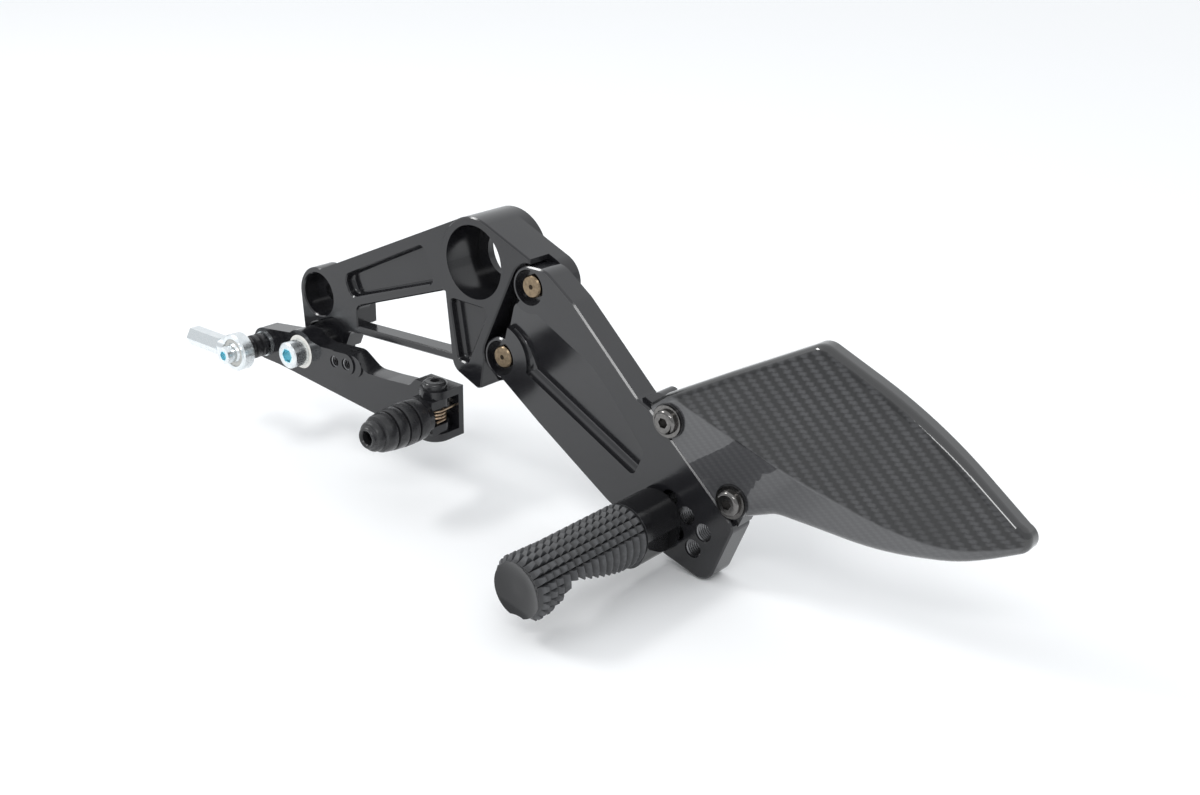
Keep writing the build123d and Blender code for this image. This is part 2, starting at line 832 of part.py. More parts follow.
# Washers and screws of the heel guard
washer_face = guard_face - guard_washer_thickness
dome_base = washer_face - guard_screw_flange
with BuildPart() as heel_guard_washers:
    with BuildSketch(at_y(guard_face)):
        with Locations(*guard_screws):
            Circle(guard_washer_radius)
            Circle(guard_screw_radius + guard_screw_clearance, mode=Mode.SUBTRACT)
    extrude(amount=guard_washer_thickness)
heel_guard_washers.part.label = "heel_guard_washers"
export_step(heel_guard_washers.part, "parts/heel_guard_washers.step")

with BuildPart() as heel_guard_screws:
    with BuildSketch(at_y(washer_face)):
        with Locations(*guard_screws):
            Circle(guard_screw_radius)
    extrude(amount=-guard_screw_length)
    with BuildSketch(at_y(washer_face)):
        with Locations(*guard_screws):
            Circle(guard_screw_flange_radius)
    extrude(amount=guard_screw_flange)
    with BuildSketch(at_y(dome_base)):
        with Locations(*guard_screws):
            Circle(guard_screw_dome_radius)
    extrude(amount=guard_screw_dome)
    domes = heel_guard_screws.faces().sort_by(Axis.Y)[:2]
    fillet([edge for dome in domes for edge in dome.edges()], guard_screw_round)
    with BuildSketch(at_y(dome_base - guard_screw_dome)):
        with Locations(*guard_screws):
            RegularPolygon(guard_screw_socket / 2, 6, major_radius=False)
    extrude(amount=-guard_screw_dome, mode=Mode.SUBTRACT)
heel_guard_screws.part.label = "heel_guard_screws"
export_step(heel_guard_screws.part, "parts/heel_guard_screws.step")

# Lever pivot: bolt in the hanger's block, with a spacer behind the lever
pivot_head_face = lever_face - running_gap
with BuildPart() as lever_pivot_bolt:
    with BuildSketch(at_y(pivot_head_face)):
        with Locations(lever_pivot):
            Circle(pivot_bolt_radius)
    extrude(amount=pivot_head_face - recess_face - pivot_bolt_engagement)
    with BuildSketch(at_y(pivot_head_face)):
        with Locations(lever_pivot):
            Circle(pivot_head_radius)
    extrude(amount=pivot_head_length)
    chamfer(lever_pivot_bolt.faces().sort_by(Axis.Y)[0].edges(), pivot_head_edge)
    with BuildSketch(at_y(pivot_head_face - pivot_head_length)):
        with Locations(lever_pivot):
            RegularPolygon(pivot_socket / 2, 6, major_radius=False)
    extrude(amount=-pivot_head_length / 2, mode=Mode.SUBTRACT)
lever_pivot_bolt.part.label = "lever_pivot_bolt"
export_step(lever_pivot_bolt.part, "parts/lever_pivot_bolt.step")

with BuildPart() as lever_pivot_spacer:
    with BuildSketch(at_y(lever_back + running_gap)):
        with Locations(lever_pivot):
            Circle(pivot_spacer_radius)
            Circle(pivot_bolt_radius + pin_clearance, mode=Mode.SUBTRACT)
    extrude(amount=lever_back + running_gap - recess_face)
lever_pivot_spacer.part.label = "lever_pivot_spacer"
export_step(lever_pivot_spacer.part, "parts/lever_pivot_spacer.step")

# Shift lever
bush_radius = pivot_bolt_radius + pin_clearance + pivot_bush_wall
with BuildPart() as lever:
    with BuildSketch(at_y(lever_face)):
        with BuildLine():
            FilletPolyline(
                (rod_pivot[0], rod_pivot[1] + rod_arm_radius),
                *points_of(lever_top_corners),
                (clevis_start, clevis_top),
                (toe_axis[0], clevis_top),
                (toe_axis[0], clevis_bottom),
                (clevis_start, clevis_bottom),
                *points_of(lever_bottom_corners),
                (rod_pivot[0], rod_pivot[1] - rod_arm_radius),
                radius=[0, *radii_of(lever_top_corners), 0, 0, 0, 0, *radii_of(lever_bottom_corners), 0],
                close=True,
            )
        make_face()
        with Locations(rod_pivot):
            Circle(rod_arm_radius)
        with Locations(lever_pivot):
            Circle(lever_hub_radius)
    extrude(amount=-lever_thickness)
    # Raised pad with two tapped positions and a lower step behind it
    with BuildSketch(at_y(lever_face)):
        with Locations(pad_holes[0], pad_step):
            Circle(pad_radius)
        make_hull()
    extrude(amount=pad_step_height)
    with BuildSketch(at_y(lever_face)):
        with Locations(*pad_holes):
            Circle(pad_radius)
        make_hull()
    extrude(amount=pad_height)
    # Clevis for the folding toe peg
    with BuildSketch(Plane.XY.offset(clevis_bottom)):
        with Locations(toe_axis):
            Circle(clevis_lobe_radius)
        with Locations((clevis_end, lever_back)):
            clevis_length = clevis_end - toe_axis[0] + clevis_lobe_radius
            Rectangle(clevis_length, clevis_wall, align=(Align.MAX, Align.MAX))
        make_hull()
    extrude(amount=clevis_height)
    with BuildSketch(Plane.XY.offset(bay_bottom)):
        with Locations((toe_axis[0] - clevis_lobe_radius - clevis_bay_gap, lever_back - clevis_wall)):
            Rectangle(4 * clevis_lobe_radius, 4 * clevis_lobe_radius, align=(Align.MIN, Align.MAX))
    extrude(amount=bay_top - bay_bottom, mode=Mode.SUBTRACT)
    with BuildSketch(Plane.XY.offset(clevis_bottom)):
        with Locations(toe_axis):
            Circle(toe_screw_radius + thread_clearance)
    extrude(amount=clevis_height, mode=Mode.SUBTRACT)
    with BuildSketch(at_y(lever_back)):
        with Locations((toe_axis[0] + spring_radius, spring_leg_height + spring_slope * spring_wall_leg)):
            Circle(spring_hole_radius)
    extrude(amount=clevis_wall, mode=Mode.SUBTRACT)
    # Bores for the bushes, the rod-end bolt and the pad threads
    with BuildSketch(at_y(lever_face)):
        with Locations(lever_pivot):
            Circle(bush_radius + seat_clearance)
        with Locations(rod_pivot):
            Circle(rod_bolt_radius + thread_clearance)
    extrude(amount=-lever_thickness, mode=Mode.SUBTRACT)
    with BuildSketch(at_y(lever_face - pad_height)):
        with Locations(*pad_holes):
            Circle(pad_thread_radius)
    extrude(amount=-pad_height - lever_thickness, mode=Mode.SUBTRACT)
    for seat in (lever_face, lever_back - pivot_bush_flange):
        with BuildSketch(at_y(seat)):
            with Locations(lever_pivot):
                Circle(pivot_bush_flange_radius + seat_clearance)
        extrude(amount=-pivot_bush_flange, mode=Mode.SUBTRACT)
lever.part.label = "shift_lever"
export_step(lever.part, "parts/shift_lever.step")

# Flanged bushes pressed into both sides of the lever
with BuildPart() as lever_pivot_bushes:
    for flange, sleeve in (
        (lever_face, lever_face),
        (lever_back - pivot_bush_flange, lever_back - pivot_bush_length),
    ):
        with BuildSketch(at_y(flange)):
            with Locations(lever_pivot):
                Circle(pivot_bush_flange_radius)
                Circle(pivot_bolt_radius + pin_clearance, mode=Mode.SUBTRACT)
        extrude(amount=-pivot_bush_flange)
        with BuildSketch(at_y(sleeve)):
            with Locations(lever_pivot):
                Circle(bush_radius)
                Circle(pivot_bolt_radius + pin_clearance, mode=Mode.SUBTRACT)
        extrude(amount=-pivot_bush_length)
lever_pivot_bushes.part.label = "lever_pivot_bushes"
export_step(lever_pivot_bushes.part, "parts/lever_pivot_bushes.step")

# Stack on the rod-end bolt, from the lever outboard
spacer_face = lever_face - rod_washer_thickness
ball_seat = spacer_face - rod_spacer_length
ball_middle = ball_seat - ball_width / 2
rod_head_face = ball_seat - ball_width
with BuildPart() as rod_end_bolt:
    with BuildSketch(at_y(rod_head_face)):
        with Locations(rod_pivot):
            Circle(rod_bolt_radius)
    extrude(amount=rod_head_face - lever_face - rod_bolt_engagement)
    with BuildSketch(at_y(rod_head_face)):
        with Locations(rod_pivot):
            Circle(rod_head_radius)
    extrude(amount=rod_head_length)
    with BuildSketch(at_y(rod_head_face - rod_head_length)):
        with Locations(rod_pivot):
            RegularPolygon(rod_socket / 2, 6, major_radius=False)
    extrude(amount=-rod_head_length / 2, mode=Mode.SUBTRACT)
rod_end_bolt.part.label = "rod_end_bolt"
export_step(rod_end_bolt.part, "parts/rod_end_bolt.step")

with BuildPart() as rod_end_washer:
    with BuildSketch(at_y(lever_face)):
        with Locations(rod_pivot):
            Circle(rod_washer_radius)
            Circle(rod_bolt_radius + pin_clearance, mode=Mode.SUBTRACT)
    extrude(amount=rod_washer_thickness)
rod_end_washer.part.label = "rod_end_washer"
export_step(rod_end_washer.part, "parts/rod_end_washer.step")

# Drawings of the rod end start at the ball's middle, with outboard as the first direction
ball_side = Plane(origin=(rod_pivot[0], ball_middle, rod_pivot[1]), x_dir=(0, -1, 0), z_dir=(-1, 0, 0))
ball_axis = Axis(ball_side.origin, ball_side.x_dir)
ridge_pitch = rod_spacer_length / rod_spacer_ridges
spacer_start = ball_middle - spacer_face
with BuildPart() as rod_end_spacer:
    with BuildSketch(ball_side):
        with BuildLine():
            ridges = []
            for ridge in range(rod_spacer_ridges):
                ridge_start = spacer_start + ridge * ridge_pitch
                ridges.append((ridge_start, rod_spacer_radius))
                ridges.append((ridge_start + ridge_pitch / 4, rod_spacer_radius + rod_spacer_ridge))
                ridges.append((ridge_start + 3 * ridge_pitch / 4, rod_spacer_radius + rod_spacer_ridge))
            Polyline(
                (spacer_start, rod_bolt_radius + pin_clearance),
                *ridges,
                (spacer_start + rod_spacer_length, rod_spacer_radius),
                (spacer_start + rod_spacer_length, rod_bolt_radius + pin_clearance),
                close=True,
            )
        make_face()
    revolve(axis=ball_axis)
rod_end_spacer.part.label = "rod_end_spacer"
export_step(rod_end_spacer.part, "parts/rod_end_spacer.step")

with BuildPart() as rod_end_ball:
    with Locations(ball_side):
        Sphere(ball_radius)
    with BuildSketch(at_y(ball_seat)):
        with Locations(rod_pivot):
            Circle(ball_radius)
            Circle(rod_bolt_radius + pin_clearance, mode=Mode.SUBTRACT)
    extrude(amount=ball_width, mode=Mode.INTERSECT)
rod_end_ball.part.label = "rod_end_ball"
export_step(rod_end_ball.part, "parts/rod_end_ball.step")

# Rod end: eye, liner and a hexagonal shank tapped for the shift rod
liner_radius = ball_radius + pin_clearance + liner_wall
with BuildPart() as rod_end_liner:
    liner_half = liner_width / 2
    socket_radius = ball_radius + pin_clearance
    socket_mouth = math.sqrt(socket_radius**2 - liner_half**2)
    with BuildSketch(ball_side):
        with BuildLine():
            ThreePointArc((-liner_half, socket_mouth), (0, socket_radius), (liner_half, socket_mouth))
            Polyline(
                (liner_half, socket_mouth),
                (liner_half, liner_radius),
                (-liner_half, liner_radius),
                (-liner_half, socket_mouth),
            )
        make_face()
    revolve(axis=ball_axis)
rod_end_liner.part.label = "rod_end_liner"
export_step(rod_end_liner.part, "parts/rod_end_liner.step")

with BuildPart() as rod_end_body:
    with BuildSketch(at_y(ball_middle + eye_width / 2)):
        with Locations(rod_pivot):
            Circle(eye_radius)
    extrude(amount=eye_width)
    chamfer(rod_end_body.edges().filter_by(GeomType.CIRCLE), eye_edge)
    shank_end = Plane(
        origin=(rod_pivot[0] - shank_length, ball_middle, rod_pivot[1]), x_dir=(0, 1, 0), z_dir=(-1, 0, 0)
    )
    with BuildSketch(shank_end.offset(-shank_length)):
        Circle(shank_round_radius)
    extrude(amount=shank_start)
    with BuildSketch(shank_end):
        RegularPolygon(shank_flats / 2, 6, major_radius=False)
    extrude(amount=shank_start - shank_length)
    chamfer(rod_end_body.faces().sort_by(Axis.X)[0].edges(), shank_chamfer)
    with BuildSketch(at_y(ball_middle + eye_width / 2)):
        with Locations(rod_pivot):
            Circle(liner_radius + seat_clearance)
    extrude(amount=2 * eye_width, both=True, mode=Mode.SUBTRACT)
    with BuildSketch(shank_end):
        Circle(shank_thread_radius)
    extrude(amount=-shank_thread_depth, mode=Mode.SUBTRACT)
rod_end_body.part.label = "rod_end_body"
export_step(rod_end_body.part, "parts/rod_end_body.step")

# Toe peg screw, down through the clevis
with BuildPart() as toe_peg_screw:
    with BuildSketch(Plane.XY.offset(clevis_top)):
        with Locations(toe_axis):
            Circle(toe_screw_head_radius)
    extrude(amount=toe_screw_head)
    fillet(toe_peg_screw.faces().sort_by(Axis.Z)[-1].edges(), toe_screw_round)
    with BuildSketch(Plane.XY.offset(clevis_top)):
        with Locations(toe_axis):
            Circle(toe_screw_radius)
    extrude(amount=-clevis_height)
    with BuildSketch(Plane.XY.offset(clevis_top + toe_screw_head)):
        with Locations(toe_axis):
            RegularPolygon(toe_screw_socket / 2, 6, major_radius=False)
    extrude(amount=-toe_screw_head * 2 / 3, mode=Mode.SUBTRACT)
toe_peg_screw.part.label = "toe_peg_screw"
export_step(toe_peg_screw.part, "parts/toe_peg_screw.step")

# Torsion spring round the screw, with one leg in the clevis wall and one along the fork
with BuildPart() as toe_peg_spring:
    with BuildLine() as spring_path:
        coil_start = (toe_axis[0], toe_axis[1], spring_leg_height - coil_height)
        coil = Helix(spring_pitch, coil_height, spring_radius, center=coil_start)
        Line(coil @ 1, coil @ 1 + (coil % 1) * spring_wall_leg)
        fork_leg = Line(coil @ 0 - (coil % 0) * spring_fork_leg, coil @ 0)
    with BuildSketch(Plane(origin=fork_leg @ 0, z_dir=fork_leg % 0)):
        Circle(spring_wire / 2)
    sweep(path=spring_path.wires()[0])
toe_peg_spring.part.label = "toe_peg_spring"
export_step(toe_peg_spring.part, "parts/toe_peg_spring.step")

# Toe peg pin: a fork on the screw, a collar and a core for the rubber
toe_side = Plane(origin=(toe_axis[0], toe_axis[1], clevis_middle), x_dir=(0, -1, 0), z_dir=(-1, 0, 0))
toe_line = Axis(toe_side.origin, toe_side.x_dir)
core_start = toe_collar_offset + toe_collar_length
rubber_end = core_start + toe_rubber_length
with BuildPart() as toe_peg_pin:
    for ear in (bay_bottom + toe_ear_gap, bay_top - toe_ear_gap - toe_ear_height):
        with BuildSketch(Plane.XY.offset(ear)):
            with Locations(toe_axis):
                Circle(toe_ear_radius)
            with Locations((toe_axis[0], toe_axis[1] - toe_collar_offset)):
                Rectangle(2 * toe_ear_radius, toe_collar_offset, align=(Align.CENTER, Align.MIN))
            with Locations(toe_axis):
                Circle(toe_screw_radius + pin_clearance, mode=Mode.SUBTRACT)
        extrude(amount=toe_ear_height)
    with BuildSketch(toe_side):
        with BuildLine():
            Polyline(
                (toe_collar_offset, 0),
                (toe_collar_offset, toe_collar_radius),
                (core_start, toe_collar_radius),
                (core_start, toe_core_radius),
                (rubber_end - toe_rubber_nose_length, toe_core_radius),
                (rubber_end - toe_rubber_nose_length, toe_bore_radius),
                (rubber_end - toe_rubber_nose_length - toe_bore_depth, toe_bore_radius),
                (rubber_end - toe_rubber_nose_length - toe_bore_depth, 0),
                close=True,
            )
        make_face()
    revolve(axis=toe_line)
toe_peg_pin.part.label = "toe_peg_pin"
export_step(toe_peg_pin.part, "parts/toe_peg_pin.step")

# Rubber sleeve with broad bands between narrow grooves and a narrower nose
nose_start = rubber_end - toe_rubber_nose_length
band_pitch = (toe_rubber_length - toe_rubber_nose_length) / len(toe_rubber_bands)
sleeve_bore = toe_core_radius + seat_clearance
with BuildPart() as toe_peg_rubber:
    with BuildSketch(toe_side):
        with BuildLine():
            for band, radius in enumerate(toe_rubber_bands):
                next_edge = [*(edge - toe_rubber_swell for edge in toe_rubber_bands), toe_rubber_nose][band + 1]
                band_start = core_start + band * band_pitch
                band_end = band_start + band_pitch - toe_rubber_groove
                ThreePointArc(
                    (band_start, radius - toe_rubber_swell),
                    ((band_start + band_end) / 2, radius),
                    (band_end, radius - toe_rubber_swell),
                )
                Polyline(
                    (band_end, radius - toe_rubber_swell),
                    (band_end + toe_rubber_groove / 2, min(radius, next_edge) - toe_rubber_groove_depth),
                    (band_start + band_pitch, next_edge),
                )
            Polyline(
                (nose_start, toe_rubber_nose),
                (rubber_end + toe_rubber_tip - toe_rubber_nose, toe_rubber_nose),
                (rubber_end, toe_rubber_tip),
                (rubber_end, toe_bore_radius),
                (nose_start, sleeve_bore),
                (core_start, sleeve_bore),
                (core_start, toe_rubber_bands[0] - toe_rubber_swell),
            )
        make_face()
    revolve(axis=toe_line)
toe_peg_rubber.part.label = "toe_peg_rubber"
export_step(toe_peg_rubber.part, "parts/toe_peg_rubber.step")
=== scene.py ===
import math

import bpy
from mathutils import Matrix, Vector


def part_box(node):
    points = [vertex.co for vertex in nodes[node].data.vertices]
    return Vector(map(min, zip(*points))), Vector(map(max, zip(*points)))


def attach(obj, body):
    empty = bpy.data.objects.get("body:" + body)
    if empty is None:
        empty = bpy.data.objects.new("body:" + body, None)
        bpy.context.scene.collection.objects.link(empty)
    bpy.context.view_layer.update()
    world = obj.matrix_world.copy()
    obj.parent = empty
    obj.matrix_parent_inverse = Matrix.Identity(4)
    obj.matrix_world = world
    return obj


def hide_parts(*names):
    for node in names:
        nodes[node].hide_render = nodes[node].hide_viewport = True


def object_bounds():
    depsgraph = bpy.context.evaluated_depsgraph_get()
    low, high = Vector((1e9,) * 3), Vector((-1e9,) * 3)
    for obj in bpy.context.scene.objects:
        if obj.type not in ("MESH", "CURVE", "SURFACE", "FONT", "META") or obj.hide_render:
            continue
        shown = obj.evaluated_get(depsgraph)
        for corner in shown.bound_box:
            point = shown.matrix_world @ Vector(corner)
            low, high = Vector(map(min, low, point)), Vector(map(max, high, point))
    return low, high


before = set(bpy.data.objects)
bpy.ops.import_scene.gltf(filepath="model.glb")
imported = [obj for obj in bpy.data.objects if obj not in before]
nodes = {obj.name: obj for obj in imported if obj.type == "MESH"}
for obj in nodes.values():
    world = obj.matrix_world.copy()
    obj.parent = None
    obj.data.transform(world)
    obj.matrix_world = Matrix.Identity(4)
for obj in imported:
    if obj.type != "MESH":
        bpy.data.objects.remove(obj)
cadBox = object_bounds()
bpy.ops.object.select_all(action="DESELECT")
print("frame loaded with", len(nodes), "nodes")

# camera as the photograph was taken, looking down from the rear of the footrest
cameraSet = {
    "place": (0.4486, -0.4515, 0.1919),
    "turn": (68.2, -0.93, 40.17),
    "lens": 45.9,
    "sensor": 36.0,
    "clip": (0.01, 50.0),
}
bpy.ops.object.camera_add(location=cameraSet["place"])
camera = bpy.context.object
camera.rotation_euler = [math.radians(angle) for angle in cameraSet["turn"]]
camera.data.lens = cameraSet["lens"]
camera.data.sensor_width = cameraSet["sensor"]
camera.data.clip_start, camera.data.clip_end = cameraSet["clip"]
bpy.context.scene.camera = camera

# white paper under a very broad overhead light, with two small lights for the edges
studioSet = {
    "floorDrop": 0.0006,
    "floorSize": 14.0,
    "floorColour": (0.94, 0.945, 0.95, 1),
    "floorPale": (0.95, 0.953, 0.955, 1),
    "floorCloud": 3.0,
    "floorRough": 0.75,
    "roomColour": (0.95, 0.975, 1.0, 1),
    "roomStrength": 0.78,
    "overhead": {"from": (-0.2, 0.4, 1.0), "spread": 130.0, "power": 0.68},
    "softboxes": [
        {"place": (-0.85, -0.5, 0.95), "aim": (0.0, 0.0, -0.03), "size": (0.5, 0.22), "power": 5.5},
        {"place": (0.62, -0.75, 0.8), "aim": (0.15, 0.0, -0.03), "size": (0.7, 0.16), "power": 3.0},
    ],
}


def pointAlong(light, direction):
    light.rotation_euler = direction.to_track_quat("-Z", "Y").to_euler()


bpy.ops.mesh.primitive_plane_add(
    size=studioSet["floorSize"], location=(0, 0, cadBox[0].z - studioSet["floorDrop"])
)
floor = bpy.context.object
floor.name = "paperFloor"
bpy.ops.object.light_add(type="SUN", location=studioSet["overhead"]["from"])
overhead = bpy.context.object
overhead.name = "overheadLight"
overhead.data.angle = math.radians(studioSet["overhead"]["spread"])
overhead.data.energy = studioSet["overhead"]["power"]
pointAlong(overhead, -Vector(studioSet["overhead"]["from"]))
for number, spec in enumerate(studioSet["softboxes"]):
    bpy.ops.object.light_add(type="AREA", location=spec["place"])
    softbox = bpy.context.object
    softbox.name = "softbox" + str(number)
    softbox.data.shape = "RECTANGLE"
    softbox.data.size, softbox.data.size_y = spec["size"]
    softbox.data.energy = spec["power"]
    pointAlong(softbox, Vector(spec["aim"]) - Vector(spec["place"]))
world = bpy.data.worlds.new("paleStudio")
bpy.context.scene.world = world
world.use_nodes = True
room = world.node_tree.nodes["Background"]
room.inputs["Color"].default_value = studioSet["roomColour"]
room.inputs["Strength"].default_value = studioSet["roomStrength"]
bpy.context.scene.view_settings.view_transform = "Standard"
print("camera and studio set")


# helpers for the finishes: feed links a socket and sets anything else as a constant
def feed(tree, value, target):
    if isinstance(value, bpy.types.NodeSocket):
        tree.links.new(value, target)
    else:
        target.default_value = value


def addNode(tree, kind, values=None, **settings):
    node = tree.nodes.new(kind)
    for key, value in settings.items():
        setattr(node, key, value)
    for key, value in (values or {}).items():
        feed(tree, value, node.inputs[key])
    return node


def startMaterial(name):
    material = bpy.data.materials.new(name)
    material.use_nodes = True
    tree = material.node_tree
    return material, tree, tree.nodes["Principled BSDF"]


def setShader(tree, shader, look):
    for name, value in look.items():
        feed(tree, value, shader.inputs[name])


def placeOf(tree, scale=(1, 1, 1), turn=(0, 0, 0), shift=(0, 0, 0)):
    where = addNode(tree, "ShaderNodeTexCoord").outputs["Object"]
    values = {"Vector": where, "Location": shift, "Rotation": turn, "Scale": scale}
    return addNode(tree, "ShaderNodeMapping", values).outputs["Vector"]


def axesOf(tree, where):
    return addNode(tree, "ShaderNodeSeparateXYZ", {"Vector": where}).outputs


def reachFrom(tree, centre):
    inner = placeOf(tree, (1, 0, 1), (0, 0, 0), (-centre[0], 0, -centre[1]))
    return addNode(tree, "ShaderNodeVectorMath", {0: inner}, operation="LENGTH").outputs["Value"]


def noiseOf(tree, where, scale, detail=3.0, rough=0.5):
    values = {"Vector": where, "Scale": scale, "Detail": detail, "Roughness": rough}
    return addNode(tree, "ShaderNodeTexNoise", values).outputs["Fac"]


def spread(tree, value, low, high, fromLow=0.25, fromHigh=0.75):
    values = {"Value": value, "From Min": fromLow, "From Max": fromHigh, "To Min": low, "To Max": high}
    return addNode(tree, "ShaderNodeMapRange", values).outputs["Result"]


def calc(tree, operation, first, second=None):
    node = addNode(tree, "ShaderNodeMath", {0: first}, operation=operation)
    if second is not None:
        feed(tree, second, node.inputs[1])
    return node.outputs["Value"]


def mixValue(tree, factor, first, second):
    values = {"Factor": factor, "A": first, "B": second}
    return addNode(tree, "ShaderNodeMix", values, data_type="FLOAT").outputs["Result"]


def mixColour(tree, factor, first, second):
    node = addNode(tree, "ShaderNodeMix", {"Factor": factor}, data_type="RGBA")
    ends = [socket for socket in node.inputs if socket.type == "RGBA"]
    for target, value in zip(ends, (first, second)):
        feed(tree, value, target)
    return [socket for socket in node.outputs if socket.type == "RGBA"][0]


def bumpFrom(tree, shader, height, strength, distance):
    values = {"Height": height, "Strength": strength, "Distance": distance}
    bump = addNode(tree, "ShaderNodeBump", values)
    feed(tree, bump.outputs["Normal"], shader.inputs["Normal"])


# black anodised aluminium: satin, faint tool marks along the length, slightly uneven dye
anodisedSet = {
    "dark": (0.008, 0.008, 0.0095, 1),
    "light": (0.015, 0.015, 0.017, 1),
    "cloudScale": 55.0,
    "toolMarks": (400, 400, 9000),
    "markShare": 0.6,
    "speckScale": 5200.0,
    "bump": (0.05, 0.00004),
    "body": {"gloss": 1.52, "rough": (0.12, 0.2)},
    "plate": {"gloss": 1.62, "rough": (0.12, 0.19)},
}


def anodisedBlack(name, spec):
    material, tree, shader = startMaterial(name)
    where = placeOf(tree)
    cloud = noiseOf(tree, where, anodisedSet["cloudScale"], 4.0)
    marks = noiseOf(tree, placeOf(tree, anodisedSet["toolMarks"]), 1.0, 2.0)
    speck = noiseOf(tree, where, anodisedSet["speckScale"], 1.0)
    look = {
        "Base Color": mixColour(tree, cloud, anodisedSet["dark"], anodisedSet["light"]),
        "Roughness": spread(tree, cloud, *spec["rough"]),
        "IOR": spec["gloss"],
    }
    setShader(tree, shader, look)
    height = calc(tree, "ADD", calc(tree, "MULTIPLY", marks, anodisedSet["markShare"]), speck)
    bumpFrom(tree, shader, height, *anodisedSet["bump"])
    return material


# knurled grey of the foot peg, with painted shade making it dark between the teeth, with a gloss black base
# and dished end
pegSet = {
    "valleyShade": (0.01, 0.01, 0.011, 1),
    "grey": (0.05, 0.051, 0.054, 1),
    "worn": (0.1, 0.101, 0.106, 1),
    "black": (0.009, 0.009, 0.01, 1),
    "axis": (0.1054, -0.086),
    "valleyRadius": 0.0108,
    "crestRadius": 0.0128,
    "baseEnd": -0.0229,
    "dishStart": -0.0835,
    "dishRadius": 0.0114,
    "scuffScale": 420.0,
    "scuffRange": (0.45, 0.8),
    "roughKnurl": (0.42, 0.58),
    "roughSmooth": 0.16,
    "gloss": 1.55,
    "gritScale": 6500.0,
    "bump": (0.12, 0.00004),
}


def knurlFinish():
    material, tree, shader = startMaterial("knurlGrey")
    where = placeOf(tree)
    depth = axesOf(tree, where)["Y"]
    fromAxis = reachFrom(tree, pegSet["axis"])
    onBase = calc(tree, "GREATER_THAN", depth, pegSet["baseEnd"])
    atEnd = calc(tree, "LESS_THAN", depth, pegSet["dishStart"])
    inDish = calc(tree, "MULTIPLY", atEnd, calc(tree, "LESS_THAN", fromAxis, pegSet["dishRadius"]))
    smooth = calc(tree, "MAXIMUM", onBase, inDish)
    scuff = noiseOf(tree, where, pegSet["scuffScale"], 4.0, 0.6)
    scuffed = spread(tree, scuff, 0, 1, *pegSet["scuffRange"])
    # painted shade: the knurl darkens from its crests down to the roots between the teeth
    raised = spread(tree, fromAxis, 0.0, 1.0, pegSet["valleyRadius"], pegSet["crestRadius"])
    grey = mixColour(tree, scuffed, pegSet["grey"], pegSet["worn"])
    grey = mixColour(tree, raised, pegSet["valleyShade"], grey)
    roughGrey = spread(tree, scuff, *pegSet["roughKnurl"])
    look = {
        "Base Color": mixColour(tree, smooth, grey, pegSet["black"]),
        "Roughness": mixValue(tree, smooth, roughGrey, pegSet["roughSmooth"]),
        "IOR": pegSet["gloss"],
    }
    setShader(tree, shader, look)
    bumpFrom(tree, shader, noiseOf(tree, where, pegSet["gritScale"], 2.0), *pegSet["bump"])
    return material


# bright plated steel, with a bluish tint in the hexagon sockets of the two bolts
zincSet = {
    "bright": (0.83, 0.86, 0.87, 1),
    "dull": (0.68, 0.72, 0.74, 1),
    "blue": (0.5, 0.78, 0.85, 1),
    "rough": (0.2, 0.36),
    "cloudScale": 380.0,
    "gritScale": 3800.0,
    "bump": (0.08, 0.00005),
    "pivotBolt": {"centre": (-0.1075, -0.0646), "socket": 0.0036, "headLength": 0.009},
    "rodBolt": {"centre": (-0.135, -0.067), "socket": 0.0024, "headLength": 0.007},
}


def zincPlate(name, spec=None, front=0.0):
    material, tree, shader = startMaterial(name)
    where = placeOf(tree)
    cloud = noiseOf(tree, where, zincSet["cloudScale"], 4.0, 0.6)
    colour = mixColour(tree, spread(tree, cloud, 0, 1), zincSet["bright"], zincSet["dull"])
    if spec:
        inHead = calc(tree, "LESS_THAN", axesOf(tree, where)["Y"], front + spec["headLength"])
        near = calc(tree, "LESS_THAN", reachFrom(tree, spec["centre"]), spec["socket"])
        colour = mixColour(tree, calc(tree, "MULTIPLY", near, inHead), colour, zincSet["blue"])
    look = {
        "Base Color": colour,
        "Metallic": 1.0,
        "Roughness": spread(tree, cloud, *zincSet["rough"]),
    }
    setShader(tree, shader, look)
    bumpFrom(tree, shader, noiseOf(tree, where, zincSet["gritScale"], 2.0), *zincSet["bump"])
    return material


# turned metals for screws, washers, wire and thread crests, the black anodised thread crests painted grey
# as a painted highlight
# the tips of the plate screws have lathe rings and a drill mark, its dimple a dark dot of painted shade
turnedGrain = {"cloudScale": 700.0, "gritScale": 5200.0, "ringShare": 0.5, "bump": (0.1, 0.00004)}
turnedSet = {
    "bronzeTip": {
        "light": (0.3, 0.23, 0.15, 1),
        "dark": (0.16, 0.12, 0.08, 1),
        "metal": 1.0,
        "rough": (0.26, 0.4),
        "centres": [(0.0325, -0.0043), (0.0155, -0.04)],
        "drillMark": 0.0011,
        "dimpleShadeTone": (0.03, 0.022, 0.015, 1),
        "rings": 19000.0,
    },
    "darkScrew": {
        "light": (0.21, 0.203, 0.197, 1),
        "dark": (0.12, 0.116, 0.112, 1),
        "metal": 1.0,
        "rough": (0.1, 0.2),
    },
    "blackSteel": {
        "light": (0.03, 0.03, 0.032, 1),
        "dark": (0.012, 0.012, 0.013, 1),
        "metal": 0.0,
        "rough": (0.12, 0.24),
    },
    # painted highlight: grey standing for glints on the crests of black anodised threads
    "threadGlintGrey": {
        "light": (0.26, 0.26, 0.265, 1),
        "dark": (0.15, 0.15, 0.155, 1),
        "metal": 1.0,
        "rough": (0.2, 0.3),
    },
    "springBronze": {
        "light": (0.6, 0.47, 0.34, 1),
        "dark": (0.4, 0.29, 0.2, 1),
        "metal": 1.0,
        "rough": (0.24, 0.36),
    },
}


